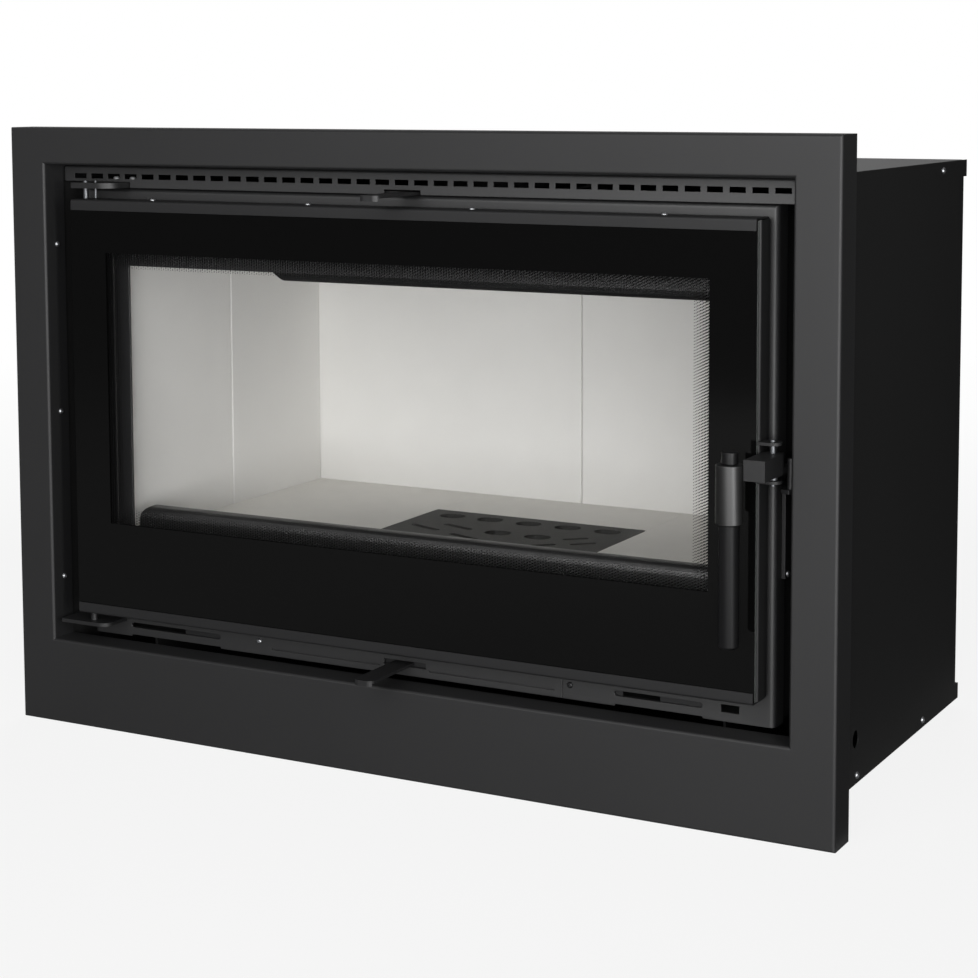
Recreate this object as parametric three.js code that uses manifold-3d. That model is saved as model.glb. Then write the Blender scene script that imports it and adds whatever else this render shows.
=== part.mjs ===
// A built-in wood-burning fireplace insert: a folded steel surround, a convection casing behind it,
// a lined firebox, and a glazed door on the left hinge with a swinging latch handle.
// Millimetres. X runs to the right, Y from the front to the back, Z up from the floor.
// The surround's front face is the plane y = 0 until the last line centres the depth.
import * as THREE from 'three';
import { mergeVertices } from 'three/addons/utils/BufferGeometryUtils.js';
import Module from 'manifold-3d';

const wasm = await Module();
wasm.setup();

// Gap left between pieces that touch
const fit = 0.3;

// Surround frame
const frameWidth = 984;
const frameHeight = 680;
const sideBorder = 47.5;
const topBorder = 41;
const bottomBorder = 97;
const frameSheet = 2.5;
const frameBend = 3.5;
const outerReturn = 40;
const innerReturn = 34;

// Convection casing
const casingDepth = 549;
const casingSheet = 1.5;
const casingBend = 3.5;
const footHeight = 8;
const trayFlange = 18;
const lidFlange = 19;
const backInset = 9;
const sideReturn = 15;
const sideHole = 18.5;
const sideHoleY = 184;
const sideHoleZ = 56;
const inletLength = 90;
const inletWidth = 14;
const inletPitch = 120;
const inletCount = 5;
const inletRows = [140, 400];

// Free air around the front plate, inside the surround
const sideAir = 28.5;
const topAir = 27;
const bottomAir = 4;

// Front plate of the firebox
const plateSheet = 3;
const plateBend = 5.5;
const plateReturn = 24;
const mouthSide = 58;
const mouthHead = 87;

// Convection grille above the door
const grilleSheet = 1.5;
const grilleReturn = 25;
const grilleHoles = 37;
const grilleBar = 6.6;
const grilleMargin = 23.3;
const grilleHoleHeight = 5.6;
const grilleHoleDrop = 11;
const grilleSetback = 1.2;

// Firebox shell and its lining
const rearAir = 43.4;
const wallSheet = 4;
const liningThickness = 30;
const smokeGap = 44.7;
const chamberSetback = 28;
const jointWidth = 0.8;
const edgeBevel = 1.2;
const chamberFloor = 214;
const brickThickness = 34;
const cradleSheet = 3;
const cradleFlange = 35;
const cradleInset = 28.4;

// Flue collar
const collarRadius = 90;
const collarWall = 3;
const collarFlange = 14;
const collarY = 270;
const collarStandOut = 28;
const lidClearance = 5;

// Grate, its carrier and the ash pan
const grateLength = 276;
const grateWidth = 140;
const grateThickness = 12;
const grateY = 279;
const gratePlay = 1;
const carrierWall = 3;
const carrierLedge = 9;
const backRowY = 42;
const middleRowY = -21;
const broadSlotLength = 32;
const broadSlotWidth = 24;
const broadSlotPitch = 51;
const thinSlotWidth = 8.4;
const leftSlotLength = 47;
const leftSlotAngle = -20;
const rightSlotLength = 31;
const rightSlotAngle = 42;
const panSheet = 1.5;
const panDepth = 44;
const panRim = 8;

// Log guard
const guardSheet = 3;
const guardHeight = 250;
const guardSideGap = 2;
const guardY = 47;
const guardDepth = 22;
const guardBend = 11;
const guardLip = 8;
const guardCorner = 16;

// Smoke baffle and its frame
const baffleSideGap = 79.4;
const baffleY = 236;
const baffleRearGap = 26.3;
const baffleHeight = 75;
const baffleSheet = 3;
const baffleHook = 30;
const baffleChamferWidth = 14;
const baffleChamferHeight = 11;
const barWidth = 22;
const barThickness = 6;

// Door
const doorDepth = 34;
const doorSheet = 1.5;
const doorSideGap = 6.2;
const doorTopGap = 11.4;
const doorBottomGap = 31;
const doorLip = 12;
const doorFlange = 34;
const stileLip = 8;
const railSetback = 2;
const glassThickness = 4;
const glassSetback = 0.8;
const tapeThickness = 2;
const tapeWidth = 12;
const ropeWidth = 10;
const ropeHeight = 3.4;
const retainerDrop = 14;

// Hinges
const hingeInset = 13.3;
const hingeY = 13;
const upperPinRadius = 2.8;
const lowerPinRadius = 4;
const hingePlateThickness = 6;
const hingePlateBack = 75;
const upperPlateOutset = 11.5;
const upperPlateReach = 43.5;
const upperPlateCorner = 19;
const lowerPlateOutset = 37.5;
const lowerPlateReach = 26.5;
const lowerPlateCorner = 12;
const lowerPlateDrop = 10;
const lowerPlateThickness = 4;
const stopRadius = 11.3;
const stopPinRadius = 1.7;
const stopAngle = 53;
const doorSwing = 100;
const turningGap = 0.4;

// Latch and handle
const armWidth = 21.4;
const armHeight = 20;
const armRise = 10.7;
const armGap = 1.2;
const armFront = -36;
const pivotY = 12;
const latchPinRadius = 3;
const shoulderRadius = 5;
const lugThickness = 3;
const lugRadius = 9.5;
const lugAbove = 8;
const lugBelow = 6;
const noseThickness = 7;
const noseY = 23;
const noseReach = 10.7;
const noseWidth = 9;
const catchRadius = 3.5;
const catchGap = 1.3;
const catchY = 20;
const keeperSheet = 4;
const keeperFront = 51.5;
const keeperDepth = 30;
const keeperHeight = 95;
const keeperDrop = 15;
const sleeveRadius = 13.5;
const sleeveHeight = 57.5;
const sleeveDrop = 5;
const gripRadius = 10.1;
const gripLength = 118.2;
const spindleRadius = 6.2;
const spindleRise = 7;
const spindleSocket = 24;
const handleChamfer = 1;

// Air controls
const leverWidth = 23;
const leverSheet = 3;
const leverReach = 46;
const leverLip = 6;
const leverCorner = 7;
const airSlotHeight = 5.6;
const airSlotRise = 13.2;
const leftSlotInset = 53;
const leftSlotWidth = 123;
const rightSlotInset = 76;
const rightSlotWidth = 96;
const sliderHeight = 15;
const primaryLeverX = -3.3;
const primaryLeverSlot = [-27, 25];
const leftWindowInset = 44;
const leftWindowWidth = 82;
const rightWindowInset = 123;
const rightWindowWidth = 41;
const sliderLeftInset = 32;
const sliderRightInset = 64;
const coverSheet = 1.5;
const coverEnds = [-181, 186];
const coverGroove = 1.5;
const coverGrooves = [[-170, -31], [29, 177]];
const stampInset = 37;
const stampWidth = 19.4;
const stampHeight = 8;
const secondaryLeverX = 8.3;
const secondaryLeverSlot = [-21.3, 22.8];
const secondaryHalf = 190;
const secondaryDepth = 18;
const airWindowHalf = 40;
const airWindowX = 110;

// Feet
const footRadius = 18;
const footDisc = 4;
const studRadius = 5;
const footSideInset = 48.8;
const footFrontInset = 56;
const footRearInset = 60;

// Sizes that follow
const openingHalf = frameWidth / 2 - sideBorder;
const openingTop = frameHeight - topBorder;
const casingInner = openingHalf + frameSheet + fit;
const casingOuter = casingInner + casingSheet;
const casingTop = openingTop - fit;
const casingRear = casingDepth - backInset;

const plateY = doorDepth + ropeHeight + 2 * fit;
const plateHalf = openingHalf - sideAir;
const plateTop = openingTop - topAir;
const plateBottom = bottomBorder + bottomAir;
const mouthHalf = plateHalf - mouthSide;
const mouthTop = plateTop - mouthHead;

const wallOuter = plateHalf - plateSheet - fit;
const wallInner = wallOuter - wallSheet;
const chamberHalf = wallInner - fit - liningThickness;
const sliderFront = plateY + plateSheet + fit;
const boxFront = plateY + plateBend;
const boxBack = casingRear - rearAir;
const liningRear = boxBack - wallSheet - fit;
const chamberBack = liningRear - liningThickness;
const chamberFront = plateY + chamberSetback;
const roofTop = plateTop - plateSheet - fit;
const wallTop = roofTop - wallSheet - fit;
const wallBottom = plateBottom + plateSheet;
const hearthTop = chamberFloor - brickThickness - fit;
const liningBottom = hearthTop + fit;
const cradleHalf = chamberHalf - cradleInset;
const guardHalf = mouthHalf - guardSideGap;
const baffleHalf = chamberHalf - baffleSideGap;
const liningTop = roofTop - wallSheet - smokeGap;

const doorHalf = plateHalf - doorSideGap;
const doorTop = plateTop - doorTopGap;
const doorBottom = plateBottom + doorBottomGap;
const glassFront = doorSheet + fit;
const glassBack = glassFront + glassThickness;
const tapeBack = glassBack + fit + tapeThickness;
const stileFront = tapeBack + fit;

const hingeX = hingeInset - doorHalf;
const upperPlateBottom = plateTop + 1;
const upperPlateTop = upperPlateBottom + hingePlateThickness;
const lowerPlateTop = doorBottom - lowerPlateDrop;

const pivotX = doorHalf + armGap + armWidth / 2;
const armTop = (doorTop + doorBottom) / 2 + armRise;
const armBottom = armTop - armHeight;
const keeperTab = armBottom - keeperDrop;
const keeperBottom = keeperTab - keeperHeight;
const sleeveTop = armTop - sleeveDrop;
const sleeveBottom = sleeveTop - sleeveHeight;
const gripTop = sleeveBottom - fit;
const spindleTop = armTop + spindleRise;
const upperLug = armTop + lugAbove;
const lowerLug = armBottom - lugBelow - lugThickness;
const catchX = pivotX + armWidth / 2 + catchGap + catchRadius;
const handleX = doorHalf + armGap - fit - sleeveRadius;
const handleY = armFront;
const airSlotZ = plateBottom + airSlotRise;
const fromLeft = (gap, width) => [gap - plateHalf, gap + width - plateHalf];
const fromRight = (gap, width) => [plateHalf - gap - width, plateHalf - gap];
const leftAirSlot = fromLeft(leftSlotInset, leftSlotWidth);
const rightAirSlot = fromRight(rightSlotInset, rightSlotWidth);
const primaryWindows = [
  fromLeft(leftWindowInset, leftWindowWidth),
  fromRight(rightWindowInset, rightWindowWidth),
];

// Colours and finishes
const steelBlack = new THREE.MeshStandardMaterial({ color: 0x2b2b2d, roughness: 0.55, metalness: 0.3 });
const casingBlack = new THREE.MeshStandardMaterial({ color: 0x1b1b1a, roughness: 0.7, metalness: 0.2 });
const castBlack = new THREE.MeshStandardMaterial({ color: 0x35342f, roughness: 0.8, metalness: 0.4 });
const bareSteel = new THREE.MeshStandardMaterial({ color: 0x8b8c8e, roughness: 0.4, metalness: 0.9 });
const sleeveSteel = new THREE.MeshStandardMaterial({ color: 0x4d4d50, roughness: 0.35, metalness: 0.7 });
const pinSteel = new THREE.MeshStandardMaterial({ color: 0x9a9a9c, roughness: 0.35, metalness: 0.9 });
const fireboard = new THREE.MeshStandardMaterial({ color: 0xc4c2ba, roughness: 0.95, metalness: 0 });
const glassDark = new THREE.MeshStandardMaterial({ color: 0x111112, roughness: 0.08, metalness: 0 });
const ropeGrey = new THREE.MeshStandardMaterial({ color: 0x4a4845, roughness: 1, metalness: 0 });

const part = new THREE.Group();

// Merge a closed three.js geometry into a solid that can be joined and cut.
function solid(geometry) {
  geometry.deleteAttribute('normal');
  geometry.deleteAttribute('uv');
  const merged = mergeVertices(geometry);
  const corners = merged.index.array;
  const triangles = [];
  for (let i = 0; i < corners.length; i += 3) {
    const [a, b, c] = corners.slice(i, i + 3);
    if (a !== b && b !== c && c !== a) triangles.push(a, b, c);
  }
  return new wasm.Manifold(new wasm.Mesh({
    numProp: 3,
    vertProperties: Float32Array.from(merged.attributes.position.array),
    triVerts: Uint32Array.from(triangles),
  }));
}

function join(pieces) {
  return pieces.reduce((whole, piece) => whole.add(piece));
}

function cut(body, tools) {
  return tools.reduce((rest, tool) => rest.subtract(tool), body);
}

// Put a solid into the assembly as a named mesh.
function place(name, body, material) {
  const { vertProperties, triVerts } = body.getMesh();
  const geometry = new THREE.BufferGeometry();
  geometry.setAttribute('position', new THREE.BufferAttribute(vertProperties, 3));
  geometry.setIndex(new THREE.BufferAttribute(triVerts, 1));
  geometry.computeVertexNormals();
  const mesh = new THREE.Mesh(geometry, material);
  mesh.name = name;
  part.add(mesh);
}

function box(x0, x1, y0, y1, z0, z1) {
  const geometry = new THREE.BoxGeometry(x1 - x0, y1 - y0, z1 - z0);
  return solid(geometry.translate((x0 + x1) / 2, (y0 + y1) / 2, (z0 + z1) / 2));
}

function extrude(shape, depth, curveSegments) {
  return new THREE.ExtrudeGeometry(shape, { depth, bevelEnabled: false, curveSegments });
}

// A section drawn in Y and Z, run along X.
function prismX(shape, x0, x1, curveSegments = 5) {
  const turn = new THREE.Matrix4().set(0, 0, 1, x0, 1, 0, 0, 0, 0, 1, 0, 0, 0, 0, 0, 1);
  return solid(extrude(shape, x1 - x0, curveSegments).applyMatrix4(turn));
}

// An outline drawn in X and Z, run along Y.
function prismY(shape, y0, y1, curveSegments = 5) {
  return solid(extrude(shape, y1 - y0, curveSegments).rotateX(Math.PI / 2).translate(0, y1, 0));
}

// An outline drawn in X and Y, run along Z.
function prismZ(shape, z0, z1, curveSegments = 5) {
  return solid(extrude(shape, z1 - z0, curveSegments).translate(0, 0, z0));
}

function rodX(y, z, radius, x0, x1, sides = 16) {
  const geometry = new THREE.CylinderGeometry(radius, radius, x1 - x0, sides);
  return solid(geometry.rotateZ(Math.PI / 2).translate((x0 + x1) / 2, y, z));
}

function rodZ(x, y, radius, z0, z1, sides = 16) {
  const geometry = new THREE.CylinderGeometry(radius, radius, z1 - z0, sides);
  return solid(geometry.rotateX(Math.PI / 2).translate(x, y, (z0 + z1) / 2));
}

// A turned piece: [radius, height] points revolved about the upright line through x, y.
function turned(profile, x, y, sides = 24) {
  const points = profile.map(([radius, height]) => new THREE.Vector2(radius, height));
  return solid(new THREE.LatheGeometry(points, sides).rotateX(Math.PI / 2).translate(x, y, 0));
}

function rectangle(left, right, bottom, top) {
  return { left, right, bottom, top };
}

function inset({ left, right, bottom, top }, by) {
  return rectangle(left + by, right - by, bottom + by, top - by);
}

// Walls through rectangles that stand one behind another. A ring joins the last to the first;
// otherwise the first and the last are closed by flat faces.
function loft(levels, ring) {
  const positions = [];
  const indices = [];
  const count = levels.length;
  for (const [{ left, right, bottom, top }, y] of levels) {
    positions.push(left, y, bottom, right, y, bottom, right, y, top, left, y, top);
  }
  for (let level = 0; level < (ring ? count : count - 1); level += 1) {
    const here = level * 4;
    const next = ((level + 1) % count) * 4;
    for (let corner = 0; corner < 4; corner += 1) {
      const turn = (corner + 1) % 4;
      indices.push(here + corner, here + turn, next + turn);
      indices.push(here + corner, next + turn, next + corner);
    }
  }
  if (!ring) {
    const last = (count - 1) * 4;
    indices.push(0, 2, 1, 0, 3, 2, last, last + 1, last + 2, last, last + 2, last + 3);
  }
  const geometry = new THREE.BufferGeometry();
  geometry.setAttribute('position', new THREE.Float32BufferAttribute(positions, 3));
  geometry.setIndex(facingOut(positions, indices));
  return geometry;
}

// Turn every triangle over if together they enclose a negative volume.
function facingOut(positions, indices) {
  const corner = (i) => new THREE.Vector3().fromArray(positions, indices[i] * 3);
  let volume = 0;
  for (let i = 0; i < indices.length; i += 3) {
    volume += corner(i).dot(corner(i + 1).cross(corner(i + 2)));
  }
  if (volume > 0) return indices;
  return indices.map((_, i) => indices[i - (i % 3) + 2 - (i % 3)]);
}

// The levels of a quarter fold from a return to the face at depth y. The bend is the outside
// radius, the radius is that of the side being drawn, and side is 1 inwards or -1 outwards.
function fold(outline, side, y, bend, radius, steps = 4) {
  const levels = [];
  for (let step = 0; step <= steps; step += 1) {
    const angle = (step / steps) * (Math.PI / 2);
    const reach = bend - radius * Math.cos(angle);
    levels.push([inset(outline, side * reach), y + bend - radius * Math.sin(angle)]);
  }
  return levels;
}

// A flat ring with square edges.
function flatRing(outer, inner, y0, y1) {
  return solid(loft([[outer, y0], [outer, y1], [inner, y1], [inner, y0]], true));
}

// A folded sheet tray: the face at depth 0 and flanges all round that run to the given depth.
function pan(outline, sheet, bend, depth) {
  return loft([
    ...fold(outline, 1, 0, bend, bend).reverse(),
    [outline, depth],
    [inset(outline, sheet), depth],
    ...fold(outline, 1, 0, bend, bend - sheet),
  ], false);
}

// Turn a pan so that its face looks up at height z, over a plan of x and y.
function panFacingUp(plan, z, sheet, bend, depth) {
  return solid(pan(plan, sheet, bend, depth).rotateX(-Math.PI / 2).translate(0, 0, z));
}

// Turn a pan so that its face looks down at height z.
function panFacingDown({ left, right, bottom, top }, z, sheet, bend, depth) {
  const flipped = rectangle(left, right, -top, -bottom);
  return solid(pan(flipped, sheet, bend, depth).rotateX(Math.PI / 2).translate(0, 0, z));
}

// Round the inner corners of a path, each with its own radius.
function rounded(path, radii, steps = 4) {
  const points = [path[0]];
  for (let i = 1; i < path.length - 1; i += 1) {
    const before = new THREE.Vector2().subVectors(path[i - 1], path[i]).normalize();
    const after = new THREE.Vector2().subVectors(path[i + 1], path[i]).normalize();
    const half = Math.acos(before.dot(after)) / 2;
    const middle = before.clone().add(after).normalize();
    const centre = path[i].clone().addScaledVector(middle, radii[i - 1] / Math.sin(half));
    const start = path[i].clone().addScaledVector(before, radii[i - 1] / Math.tan(half));
    const sweep = Math.sign(before.cross(after)) * (2 * half - Math.PI);
    for (let step = 0; step <= steps; step += 1) {
      points.push(start.clone().rotateAround(centre, (sweep * step) / steps));
    }
  }
  points.push(path[path.length - 1]);
  return points;
}

// The cross-section of a folded sheet. The corners lie on the sheet's outer face, and the sheet
// is on the left of the path for side 1 and on the right for side -1.
function foldedSection(corners, sheet, inner, side = 1) {
  const path = corners.map(([a, b]) => new THREE.Vector2(a, b));
  const radii = Array.isArray(inner) ? inner : new Array(path.length - 2).fill(inner);
  const normals = path.slice(1).map((point, i) => {
    const along = point.clone().sub(path[i]).normalize();
    return new THREE.Vector2(-along.y, along.x).multiplyScalar(side * sheet);
  });
  const back = path.map((point, i) => {
    const first = normals[Math.max(i - 1, 0)];
    const second = normals[Math.min(i, normals.length - 1)];
    const sum = first.clone().add(second);
    return point.clone().addScaledVector(sum, (2 * sheet * sheet) / sum.dot(sum));
  });
  const bends = normals.slice(1).map((normal, i) => Math.sign(normals[i].cross(normal)) * side);
  const faceRadii = radii.map((radius, i) => radius + (bends[i] > 0 ? sheet : 0));
  const backRadii = radii.map((radius, i) => radius + (bends[i] > 0 ? 0 : sheet));
  return new THREE.Shape([...rounded(path, faceRadii), ...rounded(back, backRadii).reverse()]);
}

// A rectangle with its own radius at each corner: low left, low right, high right, high left.
function roundedOutline({ left, right, bottom, top }, radii) {
  const [a, b, c, d] = radii;
  const shape = new THREE.Shape();
  shape.moveTo(left + a, bottom);
  shape.lineTo(right - b, bottom);
  if (b > 0) shape.absarc(right - b, bottom + b, b, -Math.PI / 2, 0, false);
  shape.lineTo(right, top - c);
  if (c > 0) shape.absarc(right - c, top - c, c, 0, Math.PI / 2, false);
  shape.lineTo(left + d, top);
  if (d > 0) shape.absarc(left + d, top - d, d, Math.PI / 2, Math.PI, false);
  shape.lineTo(left, bottom + a);
  if (a > 0) shape.absarc(left + a, bottom + a, a, Math.PI, 1.5 * Math.PI, false);
  return shape;
}

// A slot with round ends about a centre, turned by an angle in degrees.
function slotOutline(x, y, length, width, degrees = 0) {
  const radius = width / 2;
  const reach = length / 2 - radius;
  const angle = THREE.MathUtils.degToRad(degrees);
  const dx = reach * Math.cos(angle);
  const dy = reach * Math.sin(angle);
  const shape = new THREE.Shape();
  shape.absarc(x + dx, y + dy, radius, angle - Math.PI / 2, angle + Math.PI / 2, false);
  shape.absarc(x - dx, y - dy, radius, angle + Math.PI / 2, angle + 1.5 * Math.PI, false);
  return shape;
}

// A ring segment between two angles in degrees with round ends, about a centre.
function arcSlotOutline(x, y, radius, width, from, to) {
  const start = THREE.MathUtils.degToRad(from);
  const end = THREE.MathUtils.degToRad(to);
  const half = width / 2;
  const at = (angle) => [x + radius * Math.cos(angle), y + radius * Math.sin(angle)];
  const shape = new THREE.Shape();
  shape.absarc(x, y, radius + half, start, end, false);
  shape.absarc(...at(end), half, end, end + Math.PI, false);
  shape.absarc(x, y, radius - half, end, start, true);
  shape.absarc(...at(start), half, start + Math.PI, start + 2 * Math.PI, false);
  return shape;
}

// The lever tab of an air slider: a flat tongue with rounded front corners and a lip turned down.
function leverTab(x, backY, z) {
  const outline = roundedOutline(
    rectangle(x - leverWidth / 2, x + leverWidth / 2, -leverReach, backY),
    [leverCorner, leverCorner, 0, 0],
  );
  const lipBottom = z + leverSheet - leverLip;
  const behindLip = box(
    x - leverWidth, x + leverWidth, leverSheet - leverReach, backY + 1, lipBottom - 1, z + 0.01,
  );
  return join([
    prismZ(outline, z, z + leverSheet),
    prismZ(outline, lipBottom, z + 0.01).subtract(behindLip),
  ]);
}

// Surround frame: a front face with one return round the outside and one round the opening.
function buildSurround() {
  const outer = rectangle(-frameWidth / 2, frameWidth / 2, 0, frameHeight);
  const opening = rectangle(-openingHalf, openingHalf, bottomBorder, openingTop);
  const inside = frameBend - frameSheet;
  place('surround_frame', solid(loft([
    [outer, outerReturn],
    ...fold(outer, 1, 0, frameBend, frameBend),
    ...fold(opening, -1, 0, frameBend, frameBend).reverse(),
    [opening, innerReturn],
    [inset(opening, -frameSheet), innerReturn],
    ...fold(opening, -1, 0, frameBend, inside),
    ...fold(outer, 1, 0, frameBend, inside).reverse(),
    [inset(outer, frameSheet), outerReturn],
  ], true)), steelBlack);
}

// Casing side: a flat skin with a tab behind the lid and the tray, and a return for the back panel.
// The right side has the round cable hole.
function buildCasingSide(name, side) {
  const front = frameSheet + fit;
  const skin = new THREE.Shape([
    [front, footHeight], [casingDepth, footHeight], [casingDepth, footHeight + trayFlange],
    [casingRear - casingBend, footHeight + trayFlange], [casingRear - casingBend, casingTop - lidFlange],
    [casingDepth, casingTop - lidFlange], [casingDepth, casingTop], [front, casingTop],
  ].map(([y, z]) => new THREE.Vector2(y, z)));
  const flange = foldedSection([
    [side * casingOuter, casingRear - 2 * casingBend],
    [side * casingOuter, casingRear],
    [side * (casingOuter - sideReturn), casingRear],
  ], casingSheet, casingBend - casingSheet, side);
  const inner = Math.min(side * casingInner, side * casingOuter);
  const body = join([
    prismX(skin, inner, inner + casingSheet),
    prismZ(flange, footHeight + trayFlange + fit, casingTop - lidFlange - fit),
  ]);
  const hole = rodX(sideHoleY, sideHoleZ, sideHole / 2, inner - 1, inner + casingSheet + 1);
  place(name, side > 0 ? body.subtract(hole) : body, casingBlack);
}

// The casing's lid, floor tray and back panel.
function buildCasingCovers() {
  const half = casingInner - fit;
  const lidFront = innerReturn + 2 * fit;
  const lidPlan = rectangle(-half, half, lidFront - lidFlange, casingDepth);
  const frontCut = (z0, z1) => box(-casingOuter, casingOuter, -lidFlange, lidFront, z0, z1);
  const lid = panFacingUp(lidPlan, casingTop, casingSheet, casingBend, lidFlange);
  place('casing_lid', cut(lid, [
    frontCut(casingTop - lidFlange - 1, casingTop + 1),
    rodZ(0, collarY, collarRadius + lidClearance, casingTop - lidFlange, casingTop + 1, 32),
  ]), casingBlack);

  const tray = panFacingDown(lidPlan, footHeight, casingSheet, casingBend, trayFlange);
  const inlets = inletRows.flatMap((y) => Array.from({ length: inletCount }, (_, i) => {
    const x = (i - (inletCount - 1) / 2) * inletPitch;
    return prismZ(slotOutline(x, y, inletLength, inletWidth), 0, footHeight + trayFlange, 3);
  }));
  place('casing_tray', cut(tray, [
    frontCut(0, footHeight + trayFlange + 1),
    ...inlets,
  ]), casingBlack);

  const backFace = casingRear - casingSheet - fit;
  const backHalf = casingOuter - casingBend - fit;
  place('casing_back', box(
    -backHalf, backHalf, backFace - casingSheet, backFace,
    footHeight + trayFlange + fit, casingTop - lidFlange - fit,
  ), casingBlack);
}

// Convection grille: an angle strip with a row of oblong holes, notched for hinge and lever.
function buildGrille() {
  const face = innerReturn + grilleSetback;
  const top = casingTop - casingSheet - fit;
  const bottom = plateTop + 2 * fit;
  const half = casingInner - casingBend - 2 * fit;
  const section = foldedSection(
    [[face, bottom], [face, top], [face + grilleReturn, top]],
    grilleSheet, grilleSheet, -1,
  );
  const pitch = (2 * (openingHalf - grilleMargin)) / (grilleHoles - 1);
  const holeWidth = pitch - grilleBar;
  const holeZ = openingTop - grilleHoleDrop - grilleHoleHeight;
  const holes = Array.from({ length: grilleHoles }, (_, i) => {
    const x = (i - (grilleHoles - 1) / 2) * pitch - holeWidth / 2;
    return box(x, x + holeWidth, face - 1, face + 2 * grilleSheet, holeZ, holeZ + grilleHoleHeight);
  });
  const notch = (x0, x1, z) => box(x0, x1, face - 1, face + 2 * grilleSheet, bottom - 1, z);
  place('convection_grille', cut(prismX(section, -half, half), [
    ...holes,
    notch(-half - 1, hingeX + upperPlateReach + 1, upperPlateTop + fit),
    notch(...secondaryLeverSlot, upperPlateBottom + leverSheet + 1.5),
  ]), steelBlack);
}

// Front plate: the folded face of the firebox, with its mouth, air slots and lever slot.
function buildFrontPlate() {
  const outline = rectangle(-plateHalf, plateHalf, plateBottom - plateReturn, plateTop);
  const mouth = rectangle(-mouthHalf, mouthHalf, hearthTop + plateSheet, mouthTop);
  const back = plateY + plateReturn;
  const body = solid(loft([
    [outline, back],
    ...fold(outline, 1, plateY, plateBend, plateBend),
    [mouth, plateY],
    [mouth, plateY + plateSheet],
    ...fold(outline, 1, plateY, plateBend, plateBend - plateSheet).reverse(),
    [inset(outline, plateSheet), back],
  ], true));
  const through = (shape) => prismY(shape, plateY - 1, plateY + plateSheet + 1, 4);
  const airSlot = ([x0, x1]) => through(slotOutline((x0 + x1) / 2, airSlotZ, x1 - x0, airSlotHeight));
  const relief = ([x0, x1]) => box(x0, x1, plateY - 1, back, plateBottom - 1, plateBottom + 2);
  const opening = ([x0, x1], z0, z1) => box(x0, x1, plateY - 1, plateY + plateSheet + 1, z0, z1);
  const airWindow = (x) => box(
    x - airWindowHalf, x + airWindowHalf, plateY + plateBend + 2, back - 4, plateTop - 4, plateTop + 1,
  );
  place('front_plate', cut(body, [
    box(-plateHalf - 1, plateHalf + 1, plateY - 1, back + 1, plateBottom - 2 * plateReturn, plateBottom),
    airSlot(leftAirSlot),
    airSlot(rightAirSlot),
    relief(leftAirSlot),
    relief(rightAirSlot),
    opening(primaryLeverSlot, airSlotZ - leverSheet, airSlotZ + leverSheet),
    opening(fromRight(stampInset, stampWidth), airSlotZ - stampHeight / 2, airSlotZ + stampHeight / 2),
    airWindow(-airWindowX),
    airWindow(airWindowX),
  ]), steelBlack);
}

// Cover strip over the lever slot of the primary air slider.
function buildAirCover() {
  const back = plateY - fit;
  const [left, right] = coverEnds;
  const strip = box(left, right, back - coverSheet, back, plateBottom + 1, doorBottom - 1);
  const opening = ([x0, x1], z0, z1) => box(x0, x1, back - 2 * coverSheet, back + 1, z0, z1);
  const grooveTop = airSlotZ - leverSheet - 1;
  place('air_control_cover', cut(strip, [
    opening(primaryLeverSlot, airSlotZ - leverSheet, airSlotZ + leverSheet),
    ...coverGrooves.map((ends) => opening(ends, grooveTop - coverGroove, grooveTop)),
  ]), steelBlack);
}

// Firebox shell of welded plates.
function buildFirebox() {
  for (const [name, side] of [['firebox_left_wall', -1], ['firebox_right_wall', 1]]) {
    const inner = Math.min(side * wallInner, side * wallOuter);
    const wallRear = boxBack - wallSheet - fit;
    place(name, box(inner, inner + wallSheet, boxFront, wallRear, wallBottom, wallTop), steelBlack);
  }
  place('firebox_back_wall', box(
    -wallOuter, wallOuter, boxBack - wallSheet, boxBack, wallBottom, wallTop,
  ), steelBlack);
  const roof = box(-wallOuter, wallOuter, boxFront, boxBack, roofTop - wallSheet, roofTop);
  place('firebox_roof', roof.subtract(
    rodZ(0, collarY, collarRadius + fit, roofTop - 2 * wallSheet, roofTop + 1, 32),
  ), steelBlack);

  const inside = wallInner - fit;
  const rear = boxBack - wallSheet - fit;
  const pit = inset(ashRim(), panRim + 1);
  place('hearth_plate', box(-inside, inside, boxFront, rear, hearthTop - wallSheet, hearthTop).subtract(
    box(pit.left, pit.right, pit.bottom, pit.top, hearthTop - 2 * wallSheet, hearthTop + 1),
  ), steelBlack);
  const baseFront = sliderFront + leverSheet + fit;
  const baseTop = wallBottom + wallSheet;
  place('firebox_base', box(-inside, inside, baseFront, rear, wallBottom, baseTop), steelBlack);
}

// Cradle: two folded channels that carry the firebox above the tray.
function buildCradle() {
  const bottom = footHeight + casingSheet + fit;
  const top = wallBottom - fit;
  for (const [name, side] of [['cradle_left', -1], ['cradle_right', 1]]) {
    const section = foldedSection([
      [side * (cradleHalf + cradleFlange), bottom],
      [side * cradleHalf, bottom],
      [side * cradleHalf, top],
      [side * (cradleHalf + cradleFlange), top],
    ], cradleSheet, cradleSheet, -side);
    place(name, prismY(section, boxFront + plateReturn, boxBack), steelBlack);
  }
}

// Flue collar: a round spigot through the roof and the lid, with a flange on the roof.
function buildCollar() {
  const top = casingTop + collarStandOut;
  const inner = collarRadius - collarWall;
  const seat = roofTop + fit;
  place('flue_collar', turned([
    [inner, roofTop - wallSheet], [collarRadius, roofTop - wallSheet], [collarRadius, seat],
    [collarRadius + collarFlange, seat], [collarRadius + collarFlange, seat + collarWall],
    [collarRadius, seat + collarWall], [collarRadius, top], [inner, top], [inner, roofTop - wallSheet],
  ], 0, collarY, 32), steelBlack);
}

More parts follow.
